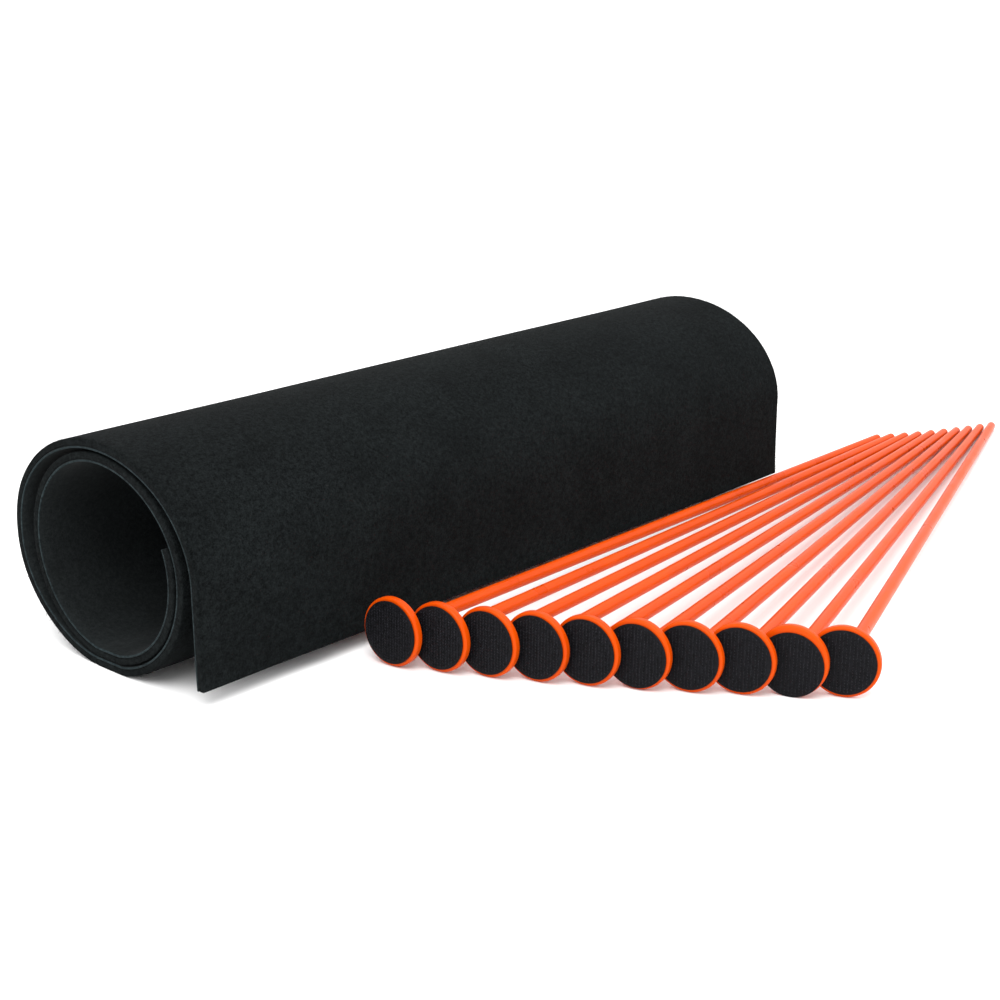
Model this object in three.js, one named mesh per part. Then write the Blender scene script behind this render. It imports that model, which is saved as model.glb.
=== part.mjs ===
// A felt mat rolled up loosely, and ten slim sticks with flat round heads laid out beside it
// as a fan. Each head carries a disc of hook tape, which grips the mat's loop pile.
// Millimetres, +Z up, +X along the roll from its near mouth, +Y to the roll's left.
import * as THREE from 'three';

// --- Driving dimensions -------------------------------------------------------------------
const matWidth = 320; // along the roll
const matThickness = 3.2;
const backingThickness = 0.7; // smooth inner skin; the pile is the rest
const layerGap = 0.3; // between the pile and its backing
const turnGap = 0.3; // between two turns that lie on each other
const rollCentreHeight = 38.8;

// Distance from the roll's centre to the middle of the mat, at each quarter turn from the
// right side of the outermost turn inwards: right, top, left, bottom, right, and so on.
// The shape between two neighbours is a quarter of an ellipse.
const stations = [46.8, 37.4, 45.3, 37.9, 39.6, 33.2, 35.3, 34.1, 35.5, 31.5];
const innerEndAngle = 740; // degrees of winding, where the mat's inner edge lies
const hingeAngle = 180; // the outer lap lifts from here, on the roll's left side
const windingStep = 7.5; // degrees per facet

const flapDrop = 33; // the free edge hangs this far below the roll's centre
const flapKick = 0.4; // and stands this far out at its bottom
const flapSteps = 4;

const stickCount = 10;
const stickLength = 350; // from the head's front face to the tip
const rodRadius = 2.0; // at the tip
const rodRootRadius = 2.4; // at the head
const spigotRadius = 1.3; // the rod's end inside the head
const headRadius = 11.75;
const headThickness = 2.8;
const headEdgeRound = 0.7;
const bossRadius = 3.0;
const bossLength = 6;
const socketRadius = 1.6;
const socketFloor = 1.3;
const padRadius = 10.8;
const padThickness = 0.85;
const adhesiveThickness = 0.25;
const padGap = 0.25; // each side of the adhesive
const lowPads = { 6: 0.4, 9: 1.1 }; // two discs sit a little low on their heads

const headSides = 24;
const rodSides = 12;
const discSides = 24;

// The fan: where the first head stands, and the step from each stick to the next, taken
// along and across the stick it leaves.
const firstHead = { x: 63.9, y: -66.4, heading: 3.34 };
const fanStep = { forward: 5.86, sideways: 15.16, turn: 1.756 };

const rad = THREE.MathUtils.degToRad;

// --- Materials ----------------------------------------------------------------------------
const pileColour = 0x1d2020;
const backingColour = 0x2c3637;
const plasticColour = 0xf4601c;
const hookColour = 0x2c272e;
const adhesiveColour = 0xcfcabb;

function material(color, roughness) {
  return new THREE.MeshStandardMaterial({ color, roughness, metalness: 0 });
}

function addMesh(parent, name, geometry, mat) {
  const mesh = new THREE.Mesh(geometry, mat);
  mesh.name = name;
  parent.add(mesh);
  return mesh;
}

// --- The rolled mat -----------------------------------------------------------------------
// A point on the middle of the mat at a winding angle, seen with +Y to the left of the roll.
// The bottom of each turn lies flat: the outer one on the floor, the next on that one.
function windingPoint(angle) {
  const quarter = Math.min(Math.floor(angle / 90), stations.length - 2);
  const sideways = quarter % 2 === 0 ? stations[quarter] : stations[quarter + 1];
  const upright = quarter % 2 === 0 ? stations[quarter + 1] : stations[quarter];
  const turn = angle < 360 ? 0 : 1;
  const lowest = matThickness / 2 + turn * (matThickness + turnGap);
  const y = -sideways * Math.cos(rad(angle));
  const z = rollCentreHeight + upright * Math.sin(rad(angle));
  return new THREE.Vector2(y, Math.max(z, lowest));
}

// The hanging free edge, from its bottom up to the roll's right side.
function flapPoints() {
  const points = [];
  for (let i = 0; i < flapSteps; i++) {
    const down = 1 - i / flapSteps;
    points.push(new THREE.Vector2(
      -stations[0] - flapKick * down * down,
      rollCentreHeight - flapDrop * down,
    ));
  }
  return points;
}

function windingPoints(from, to) {
  const count = Math.round((to - from) / windingStep);
  const points = [];
  for (let i = 0; i <= count; i++) {
    points.push(windingPoint(from + (to - from) * i / count));
  }
  return points;
}

// The outline of one layer: the middle line moved out and in along its normals.
function layerShape(line, inner, outer) {
  const outside = [];
  const inside = [];
  line.forEach((point, i) => {
    const before = line[Math.max(i - 1, 0)];
    const after = line[Math.min(i + 1, line.length - 1)];
    const along = after.clone().sub(before).normalize();
    const outward = new THREE.Vector2(-along.y, along.x);
    outside.push(point.clone().addScaledVector(outward, outer));
    inside.push(point.clone().addScaledVector(outward, inner));
  });
  return new THREE.Shape([...outside, ...inside.reverse()]);
}

// Extrusion runs along +Z, so the group turns the outline's X, Y to the roll's Y, Z.
const mat = new THREE.Group();
mat.quaternion.setFromRotationMatrix(new THREE.Matrix4().makeBasis(
  new THREE.Vector3(0, 1, 0),
  new THREE.Vector3(0, 0, 1),
  new THREE.Vector3(1, 0, 0),
));

function addMatPiece(suffix, line) {
  const half = matThickness / 2;
  const options = { depth: matWidth, bevelEnabled: false, steps: 1 };
  const backing = layerShape(line, -half, -half + backingThickness);
  const pile = layerShape(line, -half + backingThickness + layerGap, half);
  addMesh(mat, `mat_backing_${suffix}`, new THREE.ExtrudeGeometry(backing, options),
    material(backingColour, 0.8));
  addMesh(mat, `mat_pile_${suffix}`, new THREE.ExtrudeGeometry(pile, options),
    material(pileColour, 0.95));
}

const hingeGap = THREE.MathUtils.radToDeg(turnGap / 2 / stations[1]);
addMatPiece('outer_lap', [...flapPoints(), ...windingPoints(0, hingeAngle - hingeGap)]);
addMatPiece('roll', windingPoints(hingeAngle + hingeGap, innerEndAngle));

// --- The sticks ---------------------------------------------------------------------------
function lathe(profile, segments) {
  return new THREE.LatheGeometry(profile.map(([r, y]) => new THREE.Vector2(r, y)), segments);
}

// A quarter circle from angle a to a + 90 degrees, round a corner's centre.
function roundCorner(r, y, radius, a) {
  return [0, 45, 90].map((step) => [
    r + radius * Math.cos(rad(a + step)),
    y + radius * Math.sin(rad(a + step)),
  ]);
}

// The head: a flat plate with a rounded edge and a short boss behind it, with a blind socket.
function headGeometry() {
  const edge = headRadius - headEdgeRound;
  return lathe([
    [0, 0],
    ...roundCorner(edge, headEdgeRound, headEdgeRound, -90),
    ...roundCorner(edge, headThickness - headEdgeRound, headEdgeRound, 0),
    [bossRadius, headThickness],
    [bossRadius, headThickness + bossLength],
    [socketRadius, headThickness + bossLength],
    [socketRadius, socketFloor],
    [0, socketFloor],
  ], headSides);
}

// The rod: a plain round bar with a thinner spigot in the head and a blunt tip.
function rodGeometry() {
  const shoulder = headThickness + bossLength + layerGap;
  const tipRound = 0.5;
  return lathe([
    [0, socketFloor + layerGap],
    [spigotRadius, socketFloor + layerGap],
    [spigotRadius, shoulder],
    [rodRootRadius, shoulder],
    [rodRadius, stickLength - tipRound],
    [rodRadius - tipRound, stickLength],
    [0, stickLength],
  ], rodSides);
}

function discGeometry(radius, front, thickness) {
  return lathe([
    [0, front], [radius, front], [radius, front + thickness], [0, front + thickness],
  ], discSides);
}

// A stick's own +Y runs from its head to its tip. The head stands on its edge and the tip
// lies on the floor, which sets how far the stick slopes down.
const slope = Math.atan((headRadius - rodRadius) / (stickLength - headThickness));
const headHeight = headRadius * Math.cos(slope) + headThickness * Math.sin(slope);

function addStick(parent, number, x, y, heading) {
  const stick = new THREE.Group();
  const direction = new THREE.Vector3(
    Math.cos(rad(heading)) * Math.cos(slope),
    Math.sin(rad(heading)) * Math.cos(slope),
    -Math.sin(slope),
  );
  const across = new THREE.Vector3(Math.sin(rad(heading)), -Math.cos(rad(heading)), 0);
  const up = new THREE.Vector3().crossVectors(across, direction);
  stick.quaternion.setFromRotationMatrix(
    new THREE.Matrix4().makeBasis(across, direction, up),
  );
  stick.position.set(x, y, headHeight);
  parent.add(stick);

  const adhesiveFront = -padGap - adhesiveThickness;
  const padFront = adhesiveFront - padGap - padThickness;
  const id = String(number).padStart(2, '0');
  addMesh(stick, `rod_${id}`, rodGeometry(), material(plasticColour, 0.35));
  addMesh(stick, `head_${id}`, headGeometry(), material(plasticColour, 0.35));
  const adhesive = addMesh(stick, `pad_adhesive_${id}`,
    discGeometry(padRadius - 0.2, adhesiveFront, adhesiveThickness),
    material(adhesiveColour, 0.6));
  const pad = addMesh(stick, `hook_pad_${id}`,
    discGeometry(padRadius, padFront, padThickness), material(hookColour, 0.85));
  const low = lowPads[number] ?? 0;
  adhesive.position.z = -low;
  pad.position.z = -low;
}

const sticks = new THREE.Group();
const place = { ...firstHead };
for (let number = 1; number <= stickCount; number++) {
  addStick(sticks, number, place.x, place.y, place.heading);
  const cos = Math.cos(rad(place.heading));
  const sin = Math.sin(rad(place.heading));
  place.x += fanStep.forward * cos + fanStep.sideways * sin;
  place.y += fanStep.forward * sin - fanStep.sideways * cos;
  place.heading += fanStep.turn;
}

// --- The whole, centred on its footprint ----------------------------------------------------
const layout = new THREE.Group();
layout.add(mat, sticks);
layout.updateMatrixWorld(true);
const box = new THREE.Box3().setFromObject(layout, true);
const centre = box.getCenter(new THREE.Vector3());
layout.position.set(-centre.x, -centre.y, -box.min.z);

const part = new THREE.Group();
part.add(layout);
export default part;
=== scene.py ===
import math

import bpy
import numpy as np
from mathutils import Matrix, Vector


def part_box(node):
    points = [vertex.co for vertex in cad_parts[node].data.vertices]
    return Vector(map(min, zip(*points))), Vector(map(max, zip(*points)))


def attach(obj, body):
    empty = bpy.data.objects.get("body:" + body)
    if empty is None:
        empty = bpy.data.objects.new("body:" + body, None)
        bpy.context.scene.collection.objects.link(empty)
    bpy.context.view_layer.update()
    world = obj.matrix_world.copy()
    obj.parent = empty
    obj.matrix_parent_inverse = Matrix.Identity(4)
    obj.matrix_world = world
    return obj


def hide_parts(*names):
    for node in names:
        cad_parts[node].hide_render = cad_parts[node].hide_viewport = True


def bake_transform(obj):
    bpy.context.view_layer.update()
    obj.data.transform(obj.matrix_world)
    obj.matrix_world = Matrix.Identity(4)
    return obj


# A rolled felt mat and ten hook-headed sticks: the looks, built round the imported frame.
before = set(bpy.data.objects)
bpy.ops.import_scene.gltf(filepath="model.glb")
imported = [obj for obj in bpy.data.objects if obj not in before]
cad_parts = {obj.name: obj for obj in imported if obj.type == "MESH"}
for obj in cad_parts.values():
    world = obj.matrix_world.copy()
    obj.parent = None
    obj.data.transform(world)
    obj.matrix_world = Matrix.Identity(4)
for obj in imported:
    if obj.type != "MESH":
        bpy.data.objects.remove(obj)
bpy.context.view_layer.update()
MM = 0.001

# --- The same driving sizes as the CAD part, in millimetres ----------------------------------
MAT_WIDTH = 320
MAT_THICKNESS = 3.2
BACKING_THICKNESS = 0.8  # it also fills most of the gap that the CAD solids keep
BOND_GAP = 0.05
TURN_GAP = 0.3
CENTRE_HEIGHT = 38.8
STATIONS = [46.8, 37.4, 45.3, 37.9, 39.6, 33.2, 35.3, 34.1, 35.5, 31.5]
INNER_END = 740
SEAM_ANGLE = 262  # the visible mat's two lengths meet under the roll, where it lies flat
FLAP_DROP = 33
FLAP_KICK = 0.4

STICK_COUNT = 10
STICK_LENGTH = 350
ROD_RADIUS = 2.0
ROD_ROOT_RADIUS = 2.4
SPIGOT_RADIUS = 1.3
HEAD_RADIUS = 11.75
HEAD_THICKNESS = 2.8
HEAD_EDGE_ROUND = 0.7
BOSS_RADIUS = 3.0
BOSS_LENGTH = 6
SOCKET_RADIUS = 1.6
SOCKET_FLOOR = 1.3
PAD_RADIUS = 10.8
# Along a stick's own Y, in front of its head's face at 0: the adhesive, the woven ground of
# the hook tape, and the hooks. Here they lie bonded, without the CAD solids' gaps.
ADHESIVE_FRONT = -0.18
GROUND_FRONT = -0.6
HOOK_HEIGHT = 0.5
FACE_GAP = 0.02  # between bonded faces, so that they never coincide
LOW_PADS = {6: 0.4, 9: 1.1}
FIRST_HEAD = (63.9, -66.4, 3.34)
FAN_FORWARD, FAN_SIDEWAYS, FAN_TURN = 5.86, 15.16, 1.756

# The roll's near end and its middle, in the row frame.
roll_low, roll_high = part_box("mat_pile_roll")
ROLL_X = roll_low.x
ROLL_Y = roll_high.y - (STATIONS[2] + MAT_THICKNESS / 2) * MM


def to_row(x, y, z):
    """A point given in millimetres from the roll's near mouth, in the row frame."""
    return Vector((ROLL_X + x * MM, ROLL_Y + y * MM, z * MM))


# --- Camera, light and floor -----------------------------------------------------------------
CAMERA_PLACE = (-313.5, -448.8, 225.3)  # millimetres from the roll's near mouth
CAMERA_HEADING = (0.7484, 0.6632, 0)
CAMERA_PITCH = 17.41  # degrees down
CAMERA_LENS, SENSOR_WIDTH = 63.3, 36
WORLD_STRENGTH = 1.35
LIT_POINT = (0, 0, 0.03)
FLOOR_HALF = 6.0
FLOOR_COLOUR = (0.93, 0.93, 0.93)


def add_camera():
    pitch = math.radians(CAMERA_PITCH)
    level = Vector(CAMERA_HEADING)
    forward = level * math.cos(pitch) - Vector((0, 0, math.sin(pitch)))
    data = bpy.data.cameras.new("camera")
    data.lens = CAMERA_LENS
    data.sensor_width = SENSOR_WIDTH
    camera = bpy.data.objects.new("camera", data)
    camera.location = to_row(*CAMERA_PLACE)
    camera.rotation_mode = "QUATERNION"
    camera.rotation_quaternion = forward.to_track_quat("-Z", "Y")
    bpy.context.scene.collection.objects.link(camera)
    bpy.context.scene.camera = camera


def add_area(name, place, size, watts):
    data = bpy.data.lights.new(name, "AREA")
    data.shape = "DISK"
    data.size = size
    data.energy = watts
    light = bpy.data.objects.new(name, data)
    light.location = place
    light.rotation_mode = "QUATERNION"
    light.rotation_quaternion = (Vector(LIT_POINT) - Vector(place)).to_track_quat("-Z", "Y")
    bpy.context.scene.collection.objects.link(light)


def use_plain_colours():
    """Colours as a product photograph shows them: white stays white, orange stays strong."""
    bpy.context.scene.view_settings.view_transform = "Standard"


def add_world():
    world = bpy.data.worlds.new("studio")
    world.use_nodes = True
    background = world.node_tree.nodes["Background"]
    background.inputs["Color"].default_value = (1, 1, 1, 1)
    background.inputs["Strength"].default_value = WORLD_STRENGTH
    bpy.context.scene.world = world


def add_floor():
    half = FLOOR_HALF
    mesh = bpy.data.meshes.new("floor")
    corners = [(-half, -half, 0), (half, -half, 0), (half, half, 0), (-half, half, 0)]
    mesh.from_pydata(corners, [], [(0, 1, 2, 3)])
    floor = bpy.data.objects.new("floor", mesh)
    bpy.context.scene.collection.objects.link(floor)
    mesh.materials.append(plain_material("floor_paper", FLOOR_COLOUR, roughness=0.9))


# --- Materials -------------------------------------------------------------------------------
# Each pair is the darkest and the lightest shade that the surface's own pattern mixes.
PILE_SHADES = ((0.0012, 0.0017, 0.0018), (0.0092, 0.0114, 0.0118))
BACKING_SHADES = ((0.006, 0.0075, 0.0078), (0.015, 0.0175, 0.018))
# The cut edges' lighter, bluer shades are a painted highlight: the light line that the light
# draws along the sheet's cut edges.
CUT_EDGE_HIGHLIGHT_SHADES = ((0.005, 0.008, 0.009), (0.026, 0.038, 0.041))
PLASTIC_SHADES = ((0.53, 0.050, 0.0), (0.60, 0.062, 0.0003))
TAPE_SHADES = ((0.0015, 0.0015, 0.002), (0.007, 0.007, 0.009))
HOOK_SHADES = ((0.003, 0.003, 0.0038), (0.024, 0.0235, 0.028))
ADHESIVE_SHADES = ((0.10, 0.07, 0.05), (0.16, 0.11, 0.08))


def plain_material(name, colour, roughness):
    mat = bpy.data.materials.new(name)
    mat.use_nodes = True
    shader = mat.node_tree.nodes["Principled BSDF"]
    shader.inputs["Base Color"].default_value = (*colour, 1)
    shader.inputs["Roughness"].default_value = roughness
    return mat


def node(tree, kind, inputs=(), **settings):
    """A new shader node with its settings and the values of its unlinked sockets."""
    made = tree.nodes.new(kind)
    for key, value in settings.items():
        setattr(made, key, value)
    for key, value in dict(inputs).items():
        made.inputs[key].default_value = value
    return made


def noise(tree, coords, scale, detail=4.0, roughness=0.6):
    made = node(tree, "ShaderNodeTexNoise",
                {"Scale": scale, "Detail": detail, "Roughness": roughness})
    tree.links.new(coords, made.inputs["Vector"])
    return made.outputs["Fac"]


def ramp(tree, factor, stops):
    made = tree.nodes.new("ShaderNodeValToRGB")
    elements = made.color_ramp.elements
    while len(elements) < len(stops):
        elements.new(0.5)
    for element, (place, colour) in zip(elements, stops):
        element.position = place
        element.color = (*colour, 1)
    tree.links.new(factor, made.inputs["Fac"])
    return made.outputs["Color"]


def mix_colour(tree, factor, first, second, mode="MIX"):
    made = node(tree, "ShaderNodeMix", data_type="RGBA", blend_type=mode)
    if isinstance(factor, float):
        made.inputs[0].default_value = factor
    else:
        tree.links.new(factor, made.inputs[0])
    tree.links.new(first, made.inputs[6])
    tree.links.new(second, made.inputs[7])
    return made.outputs[2]


def bump(tree, height, distance, strength, before=None):
    made = node(tree, "ShaderNodeBump", {"Strength": strength, "Distance": distance})
    tree.links.new(height, made.inputs["Height"])
    if before is not None:
        tree.links.new(before, made.inputs["Normal"])
    return made.outputs["Normal"]


def shaded(name):
    """A new material, its node tree, its shader and the object's own coordinates."""
    mat = bpy.data.materials.new(name)
    mat.use_nodes = True
    tree = mat.node_tree
    coords = tree.nodes.new("ShaderNodeTexCoord").outputs["Object"]
    return mat, tree, tree.nodes["Principled BSDF"], coords


def felt_material(name, shades, nap, sheen):
    """Pressed felt: mottled fibre clumps, finer fibre specks and a soft nap."""
    mat, tree, shader, coords = shaded(name)
    dark, light = shades
    clumps = noise(tree, coords, scale=640, detail=4.0, roughness=0.75)
    specks = noise(tree, coords, scale=1700, detail=3.0, roughness=0.75)
    patches = noise(tree, coords, scale=45, detail=3.0, roughness=0.5)
    middle = tuple((a + b) / 2 for a, b in zip(dark, light))
    base = ramp(tree, clumps, [(0.38, dark), (0.52, middle), (0.64, light)])
    fibres = ramp(tree, specks, [(0.42, dark), (0.62, light)])
    tone = ramp(tree, patches, [(0.3, (0.82,) * 3), (0.7, (1.15,) * 3)])
    colour = mix_colour(tree, 0.45, base, fibres)
    colour = mix_colour(tree, 1.0, colour, tone, "MULTIPLY")
    tree.links.new(colour, shader.inputs["Base Color"])
    coarse = bump(tree, clumps, distance=0.25 * MM, strength=nap)
    fine = bump(tree, specks, distance=0.15 * MM, strength=nap, before=coarse)
    tree.links.new(fine, shader.inputs["Normal"])
    shader.inputs["Roughness"].default_value = 0.95
    shader.inputs["Specular IOR Level"].default_value = 0.05
    shader.inputs["Sheen Weight"].default_value = sheen
    shader.inputs["Sheen Roughness"].default_value = 0.45
    return mat


def plastic_material():
    """Orange moulded plastic: a faint flow pattern and a fine surface grain."""
    mat, tree, shader, coords = shaded("orange_plastic")
    dark, light = PLASTIC_SHADES
    flow = noise(tree, coords, scale=60, detail=2.0, roughness=0.5)
    grain = noise(tree, coords, scale=2500, detail=2.0, roughness=0.6)
    colour = ramp(tree, flow, [(0.3, dark), (0.7, light)])
    tree.links.new(colour, shader.inputs["Base Color"])
    rough = node(tree, "ShaderNodeMapRange",
                 {"From Min": 0.3, "From Max": 0.7, "To Min": 0.26, "To Max": 0.38})
    tree.links.new(flow, rough.inputs["Value"])
    tree.links.new(rough.outputs["Result"], shader.inputs["Roughness"])
    grained = bump(tree, grain, distance=0.04 * MM, strength=0.25)
    tree.links.new(grained, shader.inputs["Normal"])
    shader.inputs["Specular IOR Level"].default_value = 0.1
    shader.inputs["Subsurface Weight"].default_value = 0.05
    shader.inputs["Subsurface Radius"].default_value = (0.003, 0.0008, 0.0002)
    return mat


def tape_material(name, shades):
    """Dull black nylon, for the woven ground of the hook tape and for its hooks."""
    mat, tree, shader, coords = shaded(name)
    dark, light = shades
    weave = noise(tree, coords, scale=1100, detail=3.0, roughness=0.7)
    tree.links.new(ramp(tree, weave, [(0.35, dark), (0.65, light)]),
                   shader.inputs["Base Color"])
    woven = bump(tree, weave, distance=0.2 * MM, strength=0.6)
    tree.links.new(woven, shader.inputs["Normal"])
    shader.inputs["Roughness"].default_value = 0.6
    shader.inputs["Specular IOR Level"].default_value = 0.1
    return mat


def adhesive_material():
    """The cloudy brown film between a hook disc and its head."""
    mat, tree, shader, coords = shaded("adhesive_film")
    dark, light = ADHESIVE_SHADES
    cloudy = noise(tree, coords, scale=700, detail=3.0, roughness=0.6)
    colour = ramp(tree, cloudy, [(0.3, dark), (0.7, light)])
    tree.links.new(colour, shader.inputs["Base Color"])
    shader.inputs["Roughness"].default_value = 0.35
    return mat


# --- Mesh helpers ----------------------------------------------------------------------------
def add_piece(name, vertices, faces, materials, smooth=True):
    mesh = bpy.data.meshes.new(name)
    mesh.from_pydata([tuple(v) for v in vertices], [], faces)
    for mat in materials:
        mesh.materials.append(mat)
    if smooth:
        mesh.polygons.foreach_set("use_smooth", [True] * len(mesh.polygons))
    mesh.update()
    piece = bpy.data.objects.new(name, mesh)
    bpy.context.scene.collection.objects.link(piece)
    return piece


def apply_modifiers(piece):
    """Gives the piece its evaluated mesh, with no modifiers left on it."""
    graph = bpy.context.evaluated_depsgraph_get()
    made = bpy.data.meshes.new_from_object(piece.evaluated_get(graph))
    piece.modifiers.clear()
    piece.data = made


def round_edges(piece, width, segments):
    """Rounds the edges that turn by more than 50 degrees; width in millimetres."""
    bevel = piece.modifiers.new("round", "BEVEL")
    bevel.width = width * MM
    bevel.segments = segments
    bevel.limit_method = "ANGLE"
    bevel.angle_limit = math.radians(50)
    bevel.use_clamp_overlap = True
    apply_modifiers(piece)
    piece.data.polygons.foreach_set("use_smooth", [True] * len(piece.data.polygons))


# --- The rolled mat --------------------------------------------------------------------------
SHEET_COLUMNS = 76
WAVELENGTHS = (120, 60, 34, 19)
WAVE_TOTAL = 2.6  # the four waves' heights added up, which brings their sum to -1 to 1
SURFACE_WAVE = 0.10  # how far the sheet's faces wander from true
FREE_EDGE_WAVE, FREE_EDGE_REACH = 2.2, 22  # how much more they do at the hanging edge
TRIM_WAVE = 0.22  # how far the cut ends wander along the roll
FLOOR_CLEARANCE = 0.02

FIBRE_COUNT = 3500
FIBRE_EDGE_SHARE = 0.65
FIBRE_EDGE_BAND = (0.1, 1.0)  # distance from the cut end
FIBRE_LENGTH = (0.35, 0.95)
FIBRE_ROOT_DEPTH = 0.15
FIBRE_LOWEST = 2.5  # none stand below this height, where the mat lies on the floor
FIBRE_LEAN = 0.7
FIBRE_CURL = 0.35
FIBRE_TAPER = ((0, 0.035), (0.55, 0.028), (1.0, 0.012))  # share of its length, radius


def winding_point(angle):
    """The middle of the mat at a winding angle: Y to the roll's left, Z up, millimetres."""
    quarter = min(int(angle // 90), len(STATIONS) - 2)
    even = quarter % 2 == 0
    sideways = STATIONS[quarter if even else quarter + 1]
    upright = STATIONS[quarter + 1 if even else quarter]
    lowest = MAT_THICKNESS / 2 + (MAT_THICKNESS + TURN_GAP if angle >= 360 else 0)
    turn = math.radians(angle)
    height = CENTRE_HEIGHT + upright * math.sin(turn)
    return -sideways * math.cos(turn), max(height, lowest)


def flap_line(steps=14):
    line = []
    for i in range(steps):
        down = 1 - i / steps
        line.append((-STATIONS[0] - FLAP_KICK * down * down,
                     CENTRE_HEIGHT - FLAP_DROP * down))
    return line


def winding_line(first, last, step=2.5):
    count = round((last - first) / step)
    return [winding_point(first + (last - first) * i / count) for i in range(count + 1)]


def unevenness(along, across, seed):
    """Smooth random waves from -1 to 1 over the sheet, lengths in millimetres."""
    rng = np.random.default_rng(seed)
    total = np.zeros(np.broadcast(along, across).shape)
    for wavelength in WAVELENGTHS:
        heading, phase = rng.uniform(0, 2 * math.pi, 2)
        wave = (along * math.cos(heading) + across * math.sin(heading)) / wavelength
        total = total + np.sin(2 * math.pi * wave + phase) * (wavelength / WAVELENGTHS[0]) ** 0.5
    return total / WAVE_TOTAL


def mat_layer(name, line, inner, outer, seed, materials, free_edge):
    """One closed layer of the rolled sheet, between two offsets from its middle line."""
    points = np.array(line, float)
    tangents = np.gradient(points, axis=0)
    tangents /= np.linalg.norm(tangents, axis=1)[:, None]
    normals = np.stack([-tangents[:, 1], tangents[:, 0]], axis=1)
    steps = np.linalg.norm(np.diff(points, axis=0), axis=1)
    travelled = np.concatenate([[0], np.cumsum(steps)])
    across = np.linspace(0, MAT_WIDTH, SHEET_COLUMNS)
    along = travelled[:, None]
    wave = unevenness(along, across[None, :], seed)
    fade = np.ones_like(along)
    if free_edge:
        fade = 1 + FREE_EDGE_WAVE * np.exp(-along / FREE_EDGE_REACH)
    grids = []
    for offset in (outer, inner):
        grid = np.zeros((len(points), SHEET_COLUMNS, 3))
        shift = offset + SURFACE_WAVE * wave * fade
        grid[..., 1] = points[:, 0:1] + normals[:, 0:1] * shift
        grid[..., 2] = points[:, 1:2] + normals[:, 1:2] * shift
        trim = TRIM_WAVE * unevenness(along, np.zeros((1, SHEET_COLUMNS)), seed + 7)
        grid[..., 0] = across[None, :] + trim * np.cos(across / MAT_WIDTH * math.pi)
        grids.append(grid)
    grid_points = np.concatenate([g.reshape(-1, 3) for g in grids])
    grid_points[:, 2] = np.maximum(grid_points[:, 2], FLOOR_CLEARANCE)
    return closed_sheet(name, grid_points, len(points), SHEET_COLUMNS, materials)


def closed_sheet(name, grid_points, rows, columns, materials):
    """Joins an outer and an inner grid of points with strips round their four edges.

    A second material, where there is one, goes on those strips: the sheet's cut edges.
    """
    second = rows * columns
    faces, kinds = [], []
    for i in range(rows - 1):
        for j in range(columns - 1):
            a = i * columns + j
            b, c, d = a + 1, a + columns + 1, a + columns
            faces.append((a, b, c, d))
            faces.append((d + second, c + second, b + second, a + second))
            kinds += [0, 0]
    rim = [j for j in range(columns)]
    rim += [i * columns + columns - 1 for i in range(1, rows)]
    rim += [(rows - 1) * columns + j for j in range(columns - 2, -1, -1)]
    rim += [i * columns for i in range(rows - 2, 0, -1)]
    for k, a in enumerate(rim):
        b = rim[(k + 1) % len(rim)]
        faces.append((b, a, a + second, b + second))
        kinds.append(1)
    vertices = [to_row(*p) for p in grid_points]
    piece = add_piece(name, vertices, faces, materials)
    if len(materials) > 1:
        piece.data.polygons.foreach_set("material_index", kinds)
    return piece


def add_fuzz(name, line, seed, mat):
    """Short loose fibres standing out of the pile, thickest along the cut edges."""
    rng = np.random.default_rng(seed)
    points = np.array(line, float)
    vertices, faces = [], []
    corners = [(math.cos(turn), math.sin(turn)) for turn in (0, 2.094, 4.189)]
    near, far = FIBRE_EDGE_BAND
    for _ in range(FIBRE_COUNT):
        i = int(rng.integers(1, len(points) - 1))
        tangent = points[i + 1] - points[i - 1]
        tangent /= np.linalg.norm(tangent)
        outward = np.array([0, -tangent[1], tangent[0]])
        forward = np.array([0, tangent[0], tangent[1]])
        sideways = np.array([1.0, 0, 0])
        place = points[i] + (points[i + 1] - points[i]) * rng.random()
        x = rng.uniform(0.3, MAT_WIDTH - 0.3)
        if rng.random() < FIBRE_EDGE_SHARE:
            x = rng.choice([rng.uniform(near, far), MAT_WIDTH - rng.uniform(near, far)])
        root = np.array([x, *place]) + outward * (MAT_THICKNESS / 2 - FIBRE_ROOT_DEPTH)
        lean = rng.normal(0, FIBRE_LEAN, 2)
        length = rng.uniform(*FIBRE_LENGTH)
        if root[2] < FIBRE_LOWEST:
            continue
        heading = outward + forward * lean[0] + sideways * lean[1]
        heading /= np.linalg.norm(heading)
        curl = (forward * rng.normal() + sideways * rng.normal()) * FIBRE_CURL * length
        first = np.cross(heading, sideways + forward * 0.3)
        first /= np.linalg.norm(first)
        second = np.cross(heading, first)
        start = len(vertices)
        for share, thick in FIBRE_TAPER:
            middle = root + heading * length * share + curl * share * share
            for across, over in corners:
                vertices.append(middle + (first * across + second * over) * thick)
        for ring in (0, 3):
            for k in range(3):
                n = (k + 1) % 3
                faces.append((start + ring + k, start + ring + n,
                              start + ring + 3 + n, start + ring + 3 + k))
        faces.append((start + 2, start + 1, start))
        faces.append((start + 6, start + 7, start + 8))
    return add_piece(name, [to_row(*v) for v in vertices], faces, [mat], smooth=False)


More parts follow.
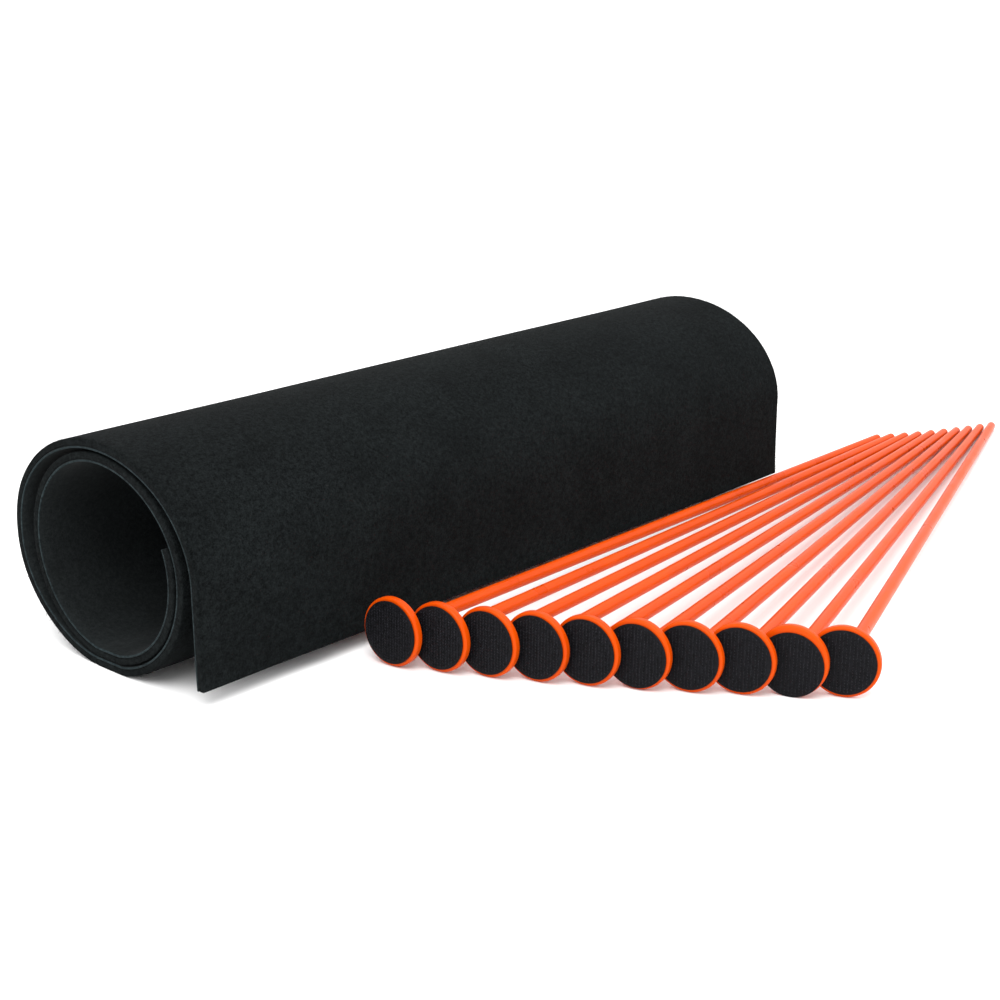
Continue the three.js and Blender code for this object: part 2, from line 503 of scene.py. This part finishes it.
def add_mat():
    half = MAT_THICKNESS / 2
    bond = -half + BACKING_THICKNESS
    felt = felt_material("felt_pile", PILE_SHADES, nap=0.8, sheen=0.0)
    skin = felt_material("backing_face", BACKING_SHADES, nap=0.25, sheen=0.03)
    # The backing's cut edges get lighter shades than its faces: a painted highlight along the
    # edges.
    cut = felt_material("backing_cut_edge_highlight", CUT_EDGE_HIGHLIGHT_SHADES, nap=0.3, sheen=0.03)
    lap_line = flap_line() + winding_line(0, SEAM_ANGLE)
    roll_line = winding_line(SEAM_ANGLE, INNER_END)
    made = []
    for part, line, seed in (("outer_lap", lap_line, 11), ("roll", roll_line, 23)):
        free = part == "outer_lap"
        pile = mat_layer(f"felt_pile_{part}", line, bond + BOND_GAP, half, seed, [felt], free)
        round_edges(pile, width=0.45, segments=3)
        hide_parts(f"mat_pile_{part}")
        backing = mat_layer(f"felt_backing_{part}", line, -half, bond, seed, [skin, cut], free)
        round_edges(backing, width=0.15, segments=1)
        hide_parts(f"mat_backing_{part}")
        fuzz = add_fuzz(f"loose_fibres_{part}", line, seed + 1, felt)
        made.append((pile, backing, fuzz))
    bend_lap(*made[0])
    for piece in made[1]:
        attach(piece, "mat_roll")


def bend_lap(*pieces):
    """Bakes the placement of each of the lap's pieces into its mesh.
    """
    for piece in pieces:
        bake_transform(piece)


# --- The sticks ------------------------------------------------------------------------------
SLOPE = math.atan((HEAD_RADIUS - ROD_RADIUS) / (STICK_LENGTH - HEAD_THICKNESS))
HEAD_HEIGHT = HEAD_RADIUS * math.cos(SLOPE) + HEAD_THICKNESS * math.sin(SLOPE)

HOOK_COLUMN_PITCH, HOOK_ROW_PITCH = 1.15, 0.95
HOOK_STAGGER = 0.45  # every second column stands this much higher
HOOK_MARGIN = 0.75  # the disc's rim has no hooks
HOOK_HALF_WIRE = 0.11
HOOK_LEAN = 0.35
HOOK_PATH = [(0, 0), (0.05, 0.5), (0.2, 0.9), (0.4, 1.0), (0.5, 0.7)]


def stick_places():
    """Each stick's own frame: its origin at its head, its Y towards its tip, its Z up."""
    x, y, heading = FIRST_HEAD
    places = []
    for _ in range(STICK_COUNT):
        turn = math.radians(heading)
        along = Vector((math.cos(turn), math.sin(turn), 0))
        across = Vector((math.sin(turn), -math.cos(turn), 0))
        direction = along * math.cos(SLOPE) - Vector((0, 0, math.sin(SLOPE)))
        up = across.cross(direction)
        axes = Matrix((across, direction, up)).transposed().to_4x4()
        places.append(Matrix.Translation(to_row(x, y, HEAD_HEIGHT)) @ axes)
        step = along * FAN_FORWARD + across * FAN_SIDEWAYS
        x, y = x + step.x, y + step.y
        heading += FAN_TURN
    return places


def lathe_mesh(profile, segments):
    """Turns a profile of (radius, place along Y) that starts and ends on the axis."""
    vertices, faces = [], []
    rings = []
    for radius, place in profile:
        if radius < 1e-6:
            rings.append([len(vertices)] * segments)
            vertices.append((0, place * MM, 0))
            continue
        ring = []
        for k in range(segments):
            turn = 2 * math.pi * k / segments
            ring.append(len(vertices))
            vertices.append((radius * math.cos(turn) * MM, place * MM,
                             radius * math.sin(turn) * MM))
        rings.append(ring)
    for lower, upper in zip(rings, rings[1:]):
        for k in range(segments):
            n = (k + 1) % segments
            corners = [lower[k], upper[k], upper[n], lower[n]]
            faces.append(tuple(dict.fromkeys(corners)))
    return vertices, [f for f in faces if len(f) > 2]


def corner(radius, place, rounding, first, steps=5):
    """Points of a quarter circle about a corner's centre, from first degrees on."""
    points = []
    for i in range(steps + 1):
        turn = math.radians(first + 90 * i / steps)
        points.append((radius + rounding * math.cos(turn), place + rounding * math.sin(turn)))
    return points


def head_profile():
    """The flat head, a fillet into its boss, and the blind socket that takes the rod."""
    rounding = HEAD_EDGE_ROUND
    edge = HEAD_RADIUS - rounding
    fillet, boss_round, rim = 0.8, 0.3, 0.3
    back = HEAD_THICKNESS
    boss_end = back + BOSS_LENGTH
    inside = []
    for i in range(6):
        turn = math.radians(90 * i / 5)
        inside.append((BOSS_RADIUS + fillet * (1 - math.sin(turn)),
                       back + fillet * (1 - math.cos(turn))))
    return [
        (0, 0), (4, 0), (9, 0), (edge - rim, 0),
        *corner(edge, rounding, rounding, -90),
        *corner(edge, back - rounding, rounding, 0),
        (edge - rim, back), (8, back),
        *inside,
        *corner(BOSS_RADIUS - boss_round, boss_end - boss_round, boss_round, 0, 3),
        (SOCKET_RADIUS, boss_end),
        (SOCKET_RADIUS, SOCKET_FLOOR),
        (0, SOCKET_FLOOR),
    ]


def rod_profile():
    """The rod's spigot, its shoulder against the boss, its slight taper and blunt tip."""
    shoulder = HEAD_THICKNESS + BOSS_LENGTH + 0.05
    spigot_end = SOCKET_FLOOR + 0.3
    chamfer = 0.25
    rounding = 0.6
    rings = 24
    body = []
    for i in range(rings + 1):
        place = shoulder + 0.35 + (STICK_LENGTH - shoulder - 1.5) * i / rings
        radius = ROD_ROOT_RADIUS + (ROD_RADIUS - ROD_ROOT_RADIUS) * i / rings
        body.append((radius, place))
    tip = STICK_LENGTH - FACE_GAP
    return [
        (0, spigot_end), (SPIGOT_RADIUS, spigot_end),
        (SPIGOT_RADIUS, shoulder), (ROD_ROOT_RADIUS - chamfer, shoulder),
        *body,
        *corner(ROD_RADIUS - rounding, STICK_LENGTH - rounding, rounding, 0)[1:],
        (0.5, tip), (0, tip),
    ]


def disc_profile(radius, front, back, rounding):
    """A flat disc with rounded rims, between two places along the stick's Y."""
    return [
        (0, front), (radius * 0.5, front),
        *corner(radius - rounding, front + rounding, rounding, -90, 3),
        *corner(radius - rounding, back - rounding, rounding, 0, 3),
        (radius * 0.5, back), (0, back),
    ]


def hook_field(radius, ground, low, seed):
    """Rows of tiny nylon hooks on the disc's face, each a bent square wire."""
    rng = np.random.default_rng(seed)
    wire = HOOK_HALF_WIRE
    vertices, faces = [], []
    reach = radius - HOOK_MARGIN
    for column in range(int(2 * reach / HOOK_COLUMN_PITCH) + 1):
        x = -reach + (column + 0.5) * HOOK_COLUMN_PITCH
        for row in range(int(2 * reach / HOOK_ROW_PITCH) + 1):
            z = -reach + row * HOOK_ROW_PITCH + (HOOK_STAGGER if column % 2 else 0)
            if math.hypot(x, z) > reach:
                continue
            lean = rng.uniform(-HOOK_LEAN, HOOK_LEAN)
            facing = 1 if column % 2 else -1
            tall = HOOK_HEIGHT * rng.uniform(0.85, 1.0)
            start = len(vertices)
            for sideways, height in HOOK_PATH:
                for dx, dz in ((-wire, -wire), (wire, -wire), (wire, wire), (-wire, wire)):
                    along = facing * sideways
                    vertices.append((
                        (x + dx + along * math.sin(lean)) * MM,
                        (ground - height * tall) * MM,
                        (z + dz + along * math.cos(lean) - low) * MM,
                    ))
            last = len(HOOK_PATH) - 1
            for i in range(last):
                for k in range(4):
                    a = start + i * 4 + k
                    b = start + i * 4 + (k + 1) % 4
                    faces.append((a, b, b + 4, a + 4))
            faces.append(tuple(start + k for k in (3, 2, 1, 0)))
            faces.append(tuple(start + last * 4 + k for k in range(4)))
    return vertices, faces


def add_sticks():
    plastic = plastic_material()
    ground = tape_material("hook_tape_ground", TAPE_SHADES)
    hooks = tape_material("hook_nylon", HOOK_SHADES)
    adhesive = adhesive_material()
    for number, place in enumerate(stick_places(), start=1):
        label = f"{number:02d}"
        low = LOW_PADS.get(number, 0)
        dropped = place @ Matrix.Translation((0, 0, -low * MM))
        # Each piece's name, its CAD node, profile, sides, material, slot and place.
        shapes = (
            ("orange_rod_", "rod_", rod_profile(), 28, plastic, "plastic", place),
            ("orange_head_", "head_", head_profile(), 72, plastic, "plastic", place),
            ("adhesive_film_", "pad_adhesive_",
             disc_profile(PAD_RADIUS - 0.35, ADHESIVE_FRONT, -FACE_GAP, 0.05),
             48, adhesive, "adhesive", dropped),
            ("hook_tape_", "hook_pad_",
             disc_profile(PAD_RADIUS - 0.1, GROUND_FRONT, ADHESIVE_FRONT - 0.01, 0.12),
             64, ground, "hook", dropped),
        )
        for piece_name, node_name, profile, segments, mat, slot, where in shapes:
            vertices, faces = lathe_mesh(profile, segments)
            piece = add_piece(piece_name + label, vertices, faces, [mat])
            piece.data.transform(where)
            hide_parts(node_name + label)
            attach(piece, f"stick_{label}")
        vertices, faces = hook_field(PAD_RADIUS, GROUND_FRONT, low, number)
        field = add_piece("hooks_" + label, vertices, faces, [hooks], smooth=False)
        field.data.transform(place)
        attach(field, f"stick_{label}")


use_plain_colours()
add_camera()
add_world()
add_floor()
add_area("key", place=(-0.9, -0.5, 1.4), size=1.2, watts=22)
add_area("fill", place=(0.9, -1.1, 0.9), size=1.0, watts=7)
add_mat()
add_sticks()
